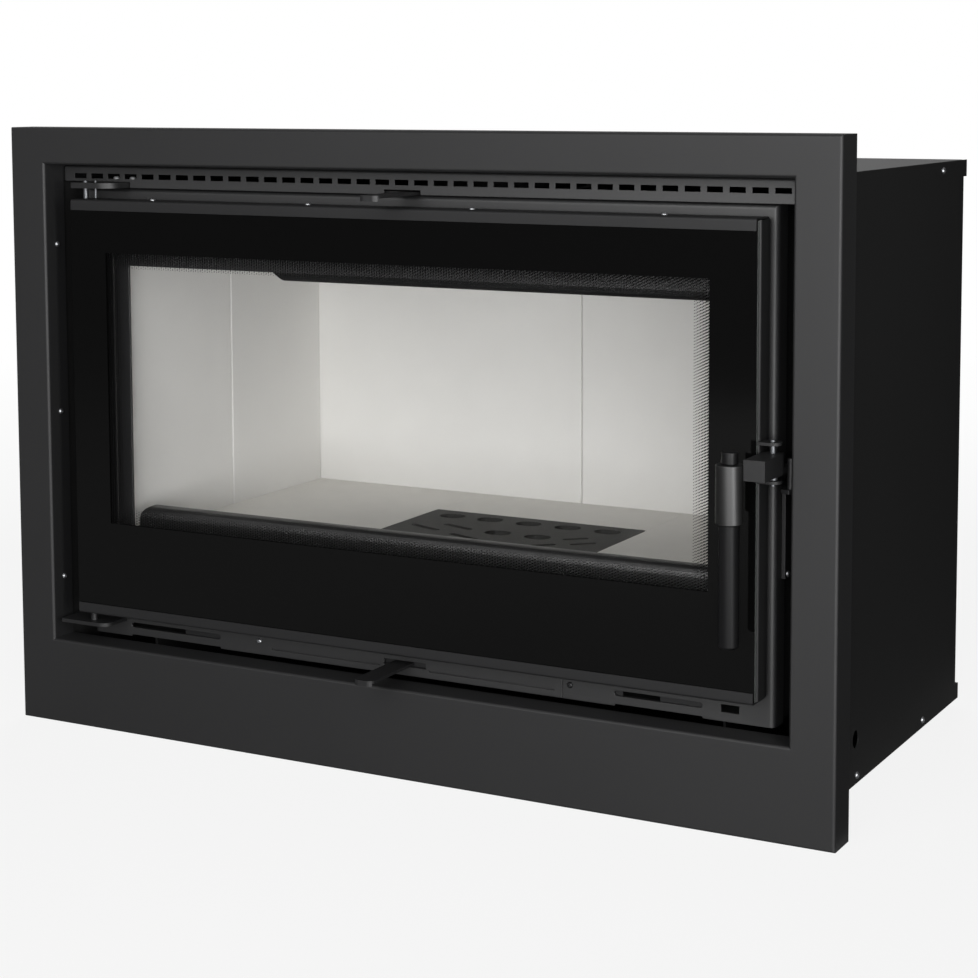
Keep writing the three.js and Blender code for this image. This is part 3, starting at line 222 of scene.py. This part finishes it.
# Glass-ceramic pane with a black enamel border printed round a clear window. Round the window the
# print breaks up into columns of dots, 3 mm apart, that get smaller inwards. The cut edge of the
# pane is a grey-green line. Sizes are in mm from the middle of the surround's front edge on the
# floor.
def printedPane(name, look):
    material, tree = startMaterial(name)
    pitch, column = look["dotPitch"], look["dotColumn"]
    middle = ((look["left"] + look["right"]) / 2, 0.0, (look["low"] + look["high"]) / 2)
    halfSize = ((look["right"] - look["left"]) / 2, 0.0, (look["high"] - look["low"]) / 2)
    place = add(tree, "ShaderNodeTexCoord", {}, {})
    flat = add(tree, "ShaderNodeVectorMath", {"operation": "MULTIPLY"}, {
        0: place.outputs["Object"], 1: (1 / mm, 0.0, 1 / mm)})
    offMiddle = add(tree, "ShaderNodeVectorMath", {"operation": "SUBTRACT"}, {
        0: flat.outputs[0], 1: middle})
    away = add(tree, "ShaderNodeVectorMath", {"operation": "ABSOLUTE"}, {0: offMiddle.outputs[0]})
    toEdge = add(tree, "ShaderNodeVectorMath", {"operation": "SUBTRACT"}, {
        0: halfSize, 1: away.outputs[0]})
    sides = add(tree, "ShaderNodeSeparateXYZ", {}, {"Vector": toEdge.outputs[0]})
    inward = add(tree, "ShaderNodeMath", {"operation": "MINIMUM"}, {
        0: sides.outputs["X"], 1: sides.outputs["Z"]})

    # two square-cornered grids of dots, the second set half a step over and half a step up
    cell = {1: (column, 1.0, pitch / 2), 2: (-column, -1.0, -pitch / 2)}
    firstDots = add(tree, "ShaderNodeVectorMath", {"operation": "WRAP"}, {
        0: offMiddle.outputs[0], **cell})
    halfStep = add(tree, "ShaderNodeVectorMath", {"operation": "ADD"}, {
        0: offMiddle.outputs[0], 1: (column, 0.0, pitch / 2)})
    otherDots = add(tree, "ShaderNodeVectorMath", {"operation": "WRAP"}, {
        0: halfStep.outputs[0], **cell})
    firstGap = add(tree, "ShaderNodeVectorMath", {"operation": "LENGTH"}, {0: firstDots.outputs[0]})
    otherGap = add(tree, "ShaderNodeVectorMath", {"operation": "LENGTH"}, {0: otherDots.outputs[0]})
    nearest = add(tree, "ShaderNodeMath", {"operation": "MINIMUM"}, {
        0: firstGap.outputs["Value"], 1: otherGap.outputs["Value"]})
    dotSize = add(tree, "ShaderNodeMapRange", {}, {
        "Value": inward.outputs[0], "From Max": look["fade"],
        "To Min": look["dotStart"], "To Max": look["dotEnd"]})
    inDot = add(tree, "ShaderNodeMath", {"operation": "LESS_THAN"}, {
        0: nearest.outputs[0], 1: dotSize.outputs[0]})
    inFade = add(tree, "ShaderNodeMath", {"operation": "LESS_THAN"}, {
        0: inward.outputs[0], 1: look["fade"]})
    dotted = add(tree, "ShaderNodeMath", {"operation": "MULTIPLY"}, {
        0: inDot.outputs[0], 1: inFade.outputs[0]})
    border = add(tree, "ShaderNodeMath", {"operation": "LESS_THAN"}, {0: inward.outputs[0], 1: 0.0})
    printed = add(tree, "ShaderNodeMath", {"operation": "MAXIMUM"}, {
        0: dotted.outputs[0], 1: border.outputs[0]})

    faces = add(tree, "ShaderNodeSeparateXYZ", {}, {"Vector": place.outputs["Normal"]})
    turned = add(tree, "ShaderNodeMath", {"operation": "ABSOLUTE"}, {0: faces.outputs["Y"]})
    cutEdge = add(tree, "ShaderNodeMath", {"operation": "LESS_THAN"}, {
        0: turned.outputs[0], 1: look["faceFrom"]})
    tint = add(tree, "ShaderNodeMix", {"data_type": "RGBA"}, {"Factor": cutEdge.outputs[0]})
    tint.inputs["A"].default_value = linear(look["enamel"])
    tint.inputs["B"].default_value = linear(look["edge"])
    solid = add(tree, "ShaderNodeMath", {"operation": "MAXIMUM"}, {
        0: printed.outputs[0], 1: cutEdge.outputs[0]})
    cover = add(tree, "ShaderNodeMath", {"operation": "MAXIMUM"}, {
        0: solid.outputs[0], 1: look["clearCover"]})
    pane = add(tree, "ShaderNodeBsdfPrincipled", {}, {
        "Base Color": tint.outputs["Result"], "Alpha": cover.outputs[0],
        "Roughness": look["rough"], "IOR": 1.5, "Specular IOR Level": look["gloss"]})
    add(tree, "ShaderNodeOutputMaterial", {}, {"Surface": pane.outputs[0]})
    return material


printedGlass = printedPane("printed_glass_ceramic", {
    "left": -362.0, "right": 360.0, "low": 238.0, "high": 542.0,
    "dotPitch": 2.98, "dotColumn": 3.059, "fade": 17.4, "dotStart": 0.9, "dotEnd": 0.42,
    "enamel": "#070707", "edge": "#606361", "clearCover": 0.05, "faceFrom": 0.7,
    "rough": 0.06, "gloss": 0.12})
print("boards, steels, rope and glass made")

dressing = {
    surroundPaint: ["surround_frame"],
    casingPaint: [
        "casing_left_side", "casing_right_side", "casing_tray", "casing_back", "flue_collar"],
    platePaint: ["casing_lid", "convection_grille", "front_plate", "air_control_cover"],
    doorPaint: ["door_top_rail", "door_bottom_rail", "door_left_stile", "door_right_stile"],
    mechanismPaint: [
        "upper_hinge_plate", "lower_hinge_plate", "keeper_plate", "latch_arm",
        "primary_air_slider", "secondary_air_slider", "catch_pin", "baffle"],
    guardPaint: ["log_guard"],
    gripPaint: ["handle_grip"],
    insidePaint: [
        "firebox_left_wall", "firebox_right_wall", "firebox_back_wall", "firebox_roof",
        "hearth_plate", "firebox_base", "cradle_left", "cradle_right", "grate_carrier"],
    castIron: [
        "grate", "baffle_frame",
        "foot_front_left", "foot_front_right", "foot_rear_left", "foot_rear_right"],
    wallBoard: [
        "lining_left_front", "lining_left_rear", "lining_right_front", "lining_right_rear",
        "lining_back_left", "lining_back_right"],
    floorBoard: [
        "floor_brick_left", "floor_brick_right", "floor_brick_front", "floor_brick_rear"],
    pinSteel: ["upper_hinge_pin", "door_stop_pin", "latch_pin"],
    panSteel: ["ash_pan", "glass_retainer_top", "glass_retainer_bottom"],
    sleeveSteel: ["handle_sleeve"],
    sealRope: ["door_rope", "glass_tape"],
    printedGlass: ["door_glass"],
}
# Rounds on the edges in mm: castings are rounder, and ground glass is crisper, than folded sheet
edgeLook = {
    "plain": 0.35, "special": {"grate": 0.8, "door_glass": 0.2},
    "segments": 2, "sharpFrom": 40, "weld": 0.02}


# a small round on each edge, and smooth shading between the facets of turned parts
def softenEdges(piece, width):
    weld = piece.modifiers.new("weld", "WELD")
    weld.merge_threshold = edgeLook["weld"] * mm
    edge = piece.modifiers.new("edge", "BEVEL")
    edge.width = width * mm
    edge.segments = edgeLook["segments"]
    edge.limit_method = "ANGLE"
    edge.angle_limit = math.radians(edgeLook["sharpFrom"])
    evenNormals = piece.modifiers.new("even_normals", "WEIGHTED_NORMAL")
    evenNormals.keep_sharp = True


for material, names in dressing.items():
    for name in names:
        piece = nodes[name]
        piece.data.materials.clear()
        piece.data.materials.append(material)
        piece.data.polygons.foreach_set("use_smooth", [True] * len(piece.data.polygons))
        softenEdges(piece, edgeLook["special"].get(name, edgeLook["plain"]))
print("CAD pieces dressed")


def makePiece(name, mesh, material, body):  # finishes a bmesh as a piece that rides on a body
    bmesh.ops.recalc_face_normals(mesh, faces=mesh.faces)
    data = bpy.data.meshes.new(name)
    mesh.to_mesh(data)
    mesh.free()
    data.polygons.foreach_set("use_smooth", [True] * len(data.polygons))
    data.materials.append(material)
    piece = bpy.data.objects.new(name, data)
    scene.collection.objects.link(piece)
    crease = piece.modifiers.new("crease", "EDGE_SPLIT")
    crease.split_angle = math.radians(edgeLook["sharpFrom"])
    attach(piece, body)
    return piece


# skin between rings of the same number of points, closed at both ends
def joinRings(mesh, rings):
    count = len(rings[0])
    for lower, upper in zip(rings, rings[1:]):
        for i in range(count):
            after = (i + 1) % count
            mesh.faces.new((lower[i], lower[after], upper[after], upper[i]))
    mesh.faces.new(rings[-1])
    mesh.faces.new(reversed(rings[0]))


def ringOf(mesh, radiusAt, height, count):
    turn = 2 * math.pi / count
    return [mesh.verts.new((
        radiusAt(i * turn) * math.cos(i * turn), radiusAt(i * turn) * math.sin(i * turn), height))
        for i in range(count)]


# Button-head screws with a hexagon socket. Each point of the head's outline is a share of its
# radius and a share of its height; the other sizes are in mm.
screwLook = {
    "outline": [(1.0, 0.0), (0.98, 0.28), (0.84, 0.66), (0.62, 0.92), (0.52, 1.0)], "points": 24,
    "small": {"radius": 3.3, "height": 2.2, "socket": 1.3, "depth": 1.2},
    "casing": {"radius": 3.8, "height": 2.4, "socket": 1.5, "depth": 1.3},
    "bolt": {"radius": 4.5, "height": 5.0, "socket": 2.0, "depth": 2.4},
}


def addScrew(name, point, facing, size, material=zincScrew, body="insert"):
    mesh = bmesh.new()
    radius, height, count = size["radius"], size["height"], screwLook["points"]
    hexagon = math.pi / 3
    rings = [
        ringOf(mesh, lambda angle: radius * share, height * up, count)
        for share, up in screwLook["outline"]]
    for level in (height, height - size["depth"]):
        rings.append(ringOf(
            mesh, lambda angle: size["socket"] / math.cos((angle % hexagon) - hexagon / 2),
            level, count))
    joinRings(mesh, rings)
    turn = Vector(facing).to_track_quat("Z", "Y").to_matrix().to_4x4()
    mesh.transform(Matrix.Translation(at(*point)) @ turn @ Matrix.Scale(mm, 4))
    return makePiece(name, mesh, material, body)


# Where the screws sit, in mm: x from the middle, y back from the surround's front, z up from the
# floor. Each head stands on the sheet that it holds.
screwPlaces = {
    "door": {"x": (-307, -104, 94, 306), "y": 17, "top": 600.6, "low": 132},
    "surround": {"x": 444.5, "y": 20, "z": (548, 357, 166)},
    "casing": {"x": 448.8, "yz": ((90, 629), (457, 629), (188, 17), (411, 17))},
    "back": {"x": 441, "y": 540, "z": (70, 245, 420, 590)},
    "keeper": {"x": 420.3, "y": 58.5, "z": (251, 338)},
    "cover": {"left": -188, "right": 194, "y": 38, "z": 116},
    "hinge": {"x": (-386, -363), "y": 55, "z": 619},
}
small, large, bolt = screwLook["small"], screwLook["casing"], screwLook["bolt"]
row = screwPlaces["door"]
for i, x in enumerate(row["x"]):
    addScrew(f"door_screw_top_{i}", (x, row["y"], row["top"]), (0, 0, 1), small, body="door")
    addScrew(f"door_screw_low_{i}", (x, row["y"], row["low"]), (0, 0, -1), small, body="door")
for side, hand in ((-1, "left"), (1, "right")):
    row = screwPlaces["surround"]
    for i, z in enumerate(row["z"]):
        addScrew(f"surround_screw_{hand}_{i}", (side * row["x"], row["y"], z), (-side, 0, 0), small)
    row = screwPlaces["casing"]
    for i, (y, z) in enumerate(row["yz"]):
        addScrew(f"casing_screw_{hand}_{i}", (side * row["x"], y, z), (side, 0, 0), large)
    row = screwPlaces["back"]
    for i, z in enumerate(row["z"]):
        addScrew(f"back_screw_{hand}_{i}", (side * row["x"], row["y"], z), (0, 1, 0), large)
row = screwPlaces["keeper"]
for i, z in enumerate(row["z"]):
    addScrew(f"keeper_screw_{i}", (row["x"], row["y"], z), (1, 0, 0), small)
row = screwPlaces["cover"]
addScrew("cover_screw_left", (row["left"], row["y"], row["z"]), (0, -1, 0), small)
addScrew("cover_screw_right", (row["right"], row["y"], row["z"]), (0, -1, 0), small,
         mechanismPaint)
# The hinge bolts wear the paled zinc: painted light that lifts them in the dark behind the grille
row = screwPlaces["hinge"]
for i, x in enumerate(row["x"]):
    addScrew(f"hinge_bolt_{i}", (x, row["y"], row["z"]), (0, 0, 1), bolt, boltZincPaintedLight)
print("screws made")

# Spindle of the handle, in mm: a thin shank inside the sleeve under a wider turned cap
spindleLook = {
    "centre": (397.2, -36.0), "low": 290.6, "neck": 372.3, "top": 384.0, "shank": 6.1, "cap": 8.2,
    "chamfer": 0.4, "round": 1.2, "roundSteps": 6, "points": 48}


def turnedSpindle(look):
    mesh = bmesh.new()
    cap, shank, neck, top = look["cap"], look["shank"], look["neck"], look["top"]
    chamfer, soft = look["chamfer"], look["round"]
    outline = [(shank, look["low"]), (shank, neck), (cap - chamfer, neck), (cap, neck + chamfer)]
    for step in range(look["roundSteps"] + 1):
        angle = math.radians(90 / look["roundSteps"] * step)
        outline.append((cap - soft + soft * math.cos(angle), top - soft + soft * math.sin(angle)))
    joinRings(mesh, [
        ringOf(mesh, lambda angle: radius, z, look["points"]) for radius, z in outline])
    mesh.transform(Matrix.Translation(at(*look["centre"], 0)) @ Matrix.Scale(mm, 4))
    return makePiece("turned_spindle", mesh, gripPaint, "handle")


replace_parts(turnedSpindle(spindleLook), "handle_spindle")
print("handle spindle turned")


# How white a stage surface looks: 1 to the eye and through the glass, less in reflections
def whiteShare(tree, mirrorWhite):
    rays = add(tree, "ShaderNodeLightPath", {}, {})
    mirrored = add(tree, "ShaderNodeMath", {"operation": "MULTIPLY"}, {
        0: rays.outputs["Is Glossy Ray"], 1: mirrorWhite})
    straight = add(tree, "ShaderNodeMath", {"operation": "MAXIMUM"}, {
        0: rays.outputs["Is Camera Ray"], 1: rays.outputs["Is Transmission Ray"]})
    seen = add(tree, "ShaderNodeMath", {"operation": "MAXIMUM"}, {
        0: straight.outputs[0], 1: mirrored.outputs[0]})
    return seen.outputs[0]


# Pale floor, in metres. Far off it goes over to plain white, near the object it keeps the shadow.
floorLook = {
    "colour": "#c6c6c5", "half": 25.0, "near": 1.2, "far": 3.5,
    "nearWhite": 0.87, "mirrorWhite": 0.15}
floorMaterial, tree = startMaterial("studio_floor")
place = add(tree, "ShaderNodeTexCoord", {}, {})
distance = add(tree, "ShaderNodeVectorMath", {"operation": "LENGTH"}, {0: place.outputs["Object"]})
white = add(tree, "ShaderNodeMapRange", {}, {
    "Value": distance.outputs["Value"], "From Min": floorLook["near"], "From Max": floorLook["far"],
    "To Min": floorLook["nearWhite"], "To Max": 1.0})
share = add(tree, "ShaderNodeMath", {"operation": "MULTIPLY"}, {
    0: whiteShare(tree, floorLook["mirrorWhite"]), 1: white.outputs[0]})
ground = add(tree, "ShaderNodeBsdfDiffuse", {}, {"Color": linear(floorLook["colour"])})
glow = add(tree, "ShaderNodeEmission", {}, {"Strength": 1.0})
both = add(tree, "ShaderNodeMixShader", {}, {
    0: share.outputs[0], 1: ground.outputs[0], 2: glow.outputs[0]})
add(tree, "ShaderNodeOutputMaterial", {}, {"Surface": both.outputs[0]})


def stageCard(name, corners, faces, material):
    data = bpy.data.meshes.new(name)
    data.from_pydata(corners, [], faces)
    data.materials.append(material)
    card = bpy.data.objects.new(name, data)
    scene.collection.objects.link(card)
    return card


half = floorLook["half"]
stageCard("studio_floor", [
    (-half, -half, floorZ), (half, -half, floorZ), (half, half, floorZ), (-half, half, floorZ)],
    [(0, 1, 2, 3)], floorMaterial)

# Black card in metres, flat on the floor beside the casing and upright further out. It is seen in
# reflections alone, and keeps the casing's side dark.
cardLook = {
    "inner": 0.5, "outer": 1.3, "front": -0.7, "uprightSetback": 0.8, "rear": 8.0, "lift": 0.002,
    "height": 2.2, "colour": "#040404"}
cardMaterial, tree = startMaterial("black_felt_card")
felt = add(tree, "ShaderNodeBsdfDiffuse", {}, {"Color": linear(cardLook["colour"])})
add(tree, "ShaderNodeOutputMaterial", {}, {"Surface": felt.outputs[0]})
inner, outer, front, rear = (cardLook[key] for key in ("inner", "outer", "front", "rear"))
lift, height = floorZ + cardLook["lift"], cardLook["height"]
uprightFront = front + cardLook["uprightSetback"]
card = stageCard("black_card", [
    (inner, front, lift), (outer, front, lift), (outer, rear, lift), (inner, rear, lift),
    (outer, uprightFront, height), (outer, rear, height), (outer, uprightFront, lift)],
    [(0, 1, 2, 3), (6, 2, 5, 4)], cardMaterial)
card.visible_camera = False
card.visible_diffuse = False
card.visible_shadow = False
card.visible_transmission = False

# White room: full white to the eye and through the glass, dimmer in reflections, hardly any light
roomLook = {"mirrorWhite": 0.6, "ambient": 0.03}
world = bpy.data.worlds.new("studio")
scene.world = world
world.use_nodes = True
tree = world.node_tree
tree.nodes.clear()
level = add(tree, "ShaderNodeMath", {"operation": "MAXIMUM"}, {
    0: whiteShare(tree, roomLook["mirrorWhite"]), 1: roomLook["ambient"]})
room = add(tree, "ShaderNodeBackground", {}, {
    "Color": (1.0, 1.0, 1.0, 1.0), "Strength": level.outputs[0]})
add(tree, "ShaderNodeOutputWorld", {}, {"Surface": room.outputs[0]})

# Softboxes, placed in metres from the middle of the surround's front edge on the floor.
# "light" says what each one does: all, only body colour, or only highlights.
keyLook = {
    "place": (0.44, -2.2, 1.32), "target": (0, 0, 0.35), "size": (2.57, 1.67),
    "watts": 48, "light": "all"}
lampLook = {
    "key": keyLook,
    "key_highlight": {**keyLook, "place": (0.44, -2.22, 1.32), "watts": 40, "light": "highlight"},
    "low_fill": {
        "place": (1.3, -2.6, 0.4), "target": (-0.1, 0.3, 0.4), "size": (2.2, 0.7),
        "watts": 62, "light": "all"},
    "side_strip": {
        "place": (2.54, -1.43, 0.62), "target": (0.45, 0, 0.4), "size": (0.4, 1.6),
        "watts": 130, "light": "highlight"},
    "rear": {
        "place": (-1.1, 3.1, 1.5), "target": (0, 0.3, 0.3), "size": (2.0, 1.4),
        "watts": 60, "light": "body"},
}
for name, look in lampLook.items():
    lamp = bpy.data.lights.new(name, "AREA")
    lamp.shape = "RECTANGLE"
    lamp.size, lamp.size_y = look["size"]
    lamp.energy = look["watts"]
    softbox = bpy.data.objects.new(name, lamp)
    scene.collection.objects.link(softbox)
    lampPlace = Vector(look["place"]) + Vector((0, frontY, 0))
    lampTarget = Vector(look["target"]) + Vector((0, frontY, 0))
    softbox.location = lampPlace
    softbox.rotation_mode = "QUATERNION"
    softbox.rotation_quaternion = (lampTarget - lampPlace).to_track_quat("-Z", "Y")
    softbox.visible_camera = False
    softbox.visible_diffuse = look["light"] != "highlight"
    softbox.visible_glossy = look["light"] != "body"
print("floor, room and softboxes set")

# The photograph's view: place in surround heights from the surround's front, angles in radians
cameraLook = {
    "focalPixels": 2201.035, "framePixels": 978, "shift": -0.2, "sensor": 36.0, "farthest": 60,
    "height": 0.68, "place": (1.7190326, -2.8440493, 1.0716981),
    "yaw": 0.4961174, "pitch": -0.0956816, "roll": -0.0034323}
yaw, pitch, roll = cameraLook["yaw"], cameraLook["pitch"], cameraLook["roll"]
ahead = Vector((-math.sin(yaw) * math.cos(pitch), math.cos(yaw) * math.cos(pitch), math.sin(pitch)))
level = Vector((math.cos(yaw), math.sin(yaw), 0))
upright = level.cross(ahead)
across = level * math.cos(roll) + upright * math.sin(roll)
up = upright * math.cos(roll) - level * math.sin(roll)
cameraData = bpy.data.cameras.new("view")
cameraData.sensor_width = cameraLook["sensor"]
cameraData.lens = cameraLook["focalPixels"] / cameraLook["framePixels"] * cameraLook["sensor"]
cameraData.shift_y = cameraLook["shift"]
cameraData.clip_end = cameraLook["farthest"]
camera = bpy.data.objects.new("view", cameraData)
scene.collection.objects.link(camera)
stand = Vector(cameraLook["place"]) * cameraLook["height"] + Vector((0, frontY, 0))
camera.matrix_world = Matrix((
    (across.x, up.x, -ahead.x, stand.x),
    (across.y, up.y, -ahead.y, stand.y),
    (across.z, up.z, -ahead.z, stand.z),
    (0, 0, 0, 1)))
scene.camera = camera
scene.view_settings.view_transform = "Standard"
print("camera set")
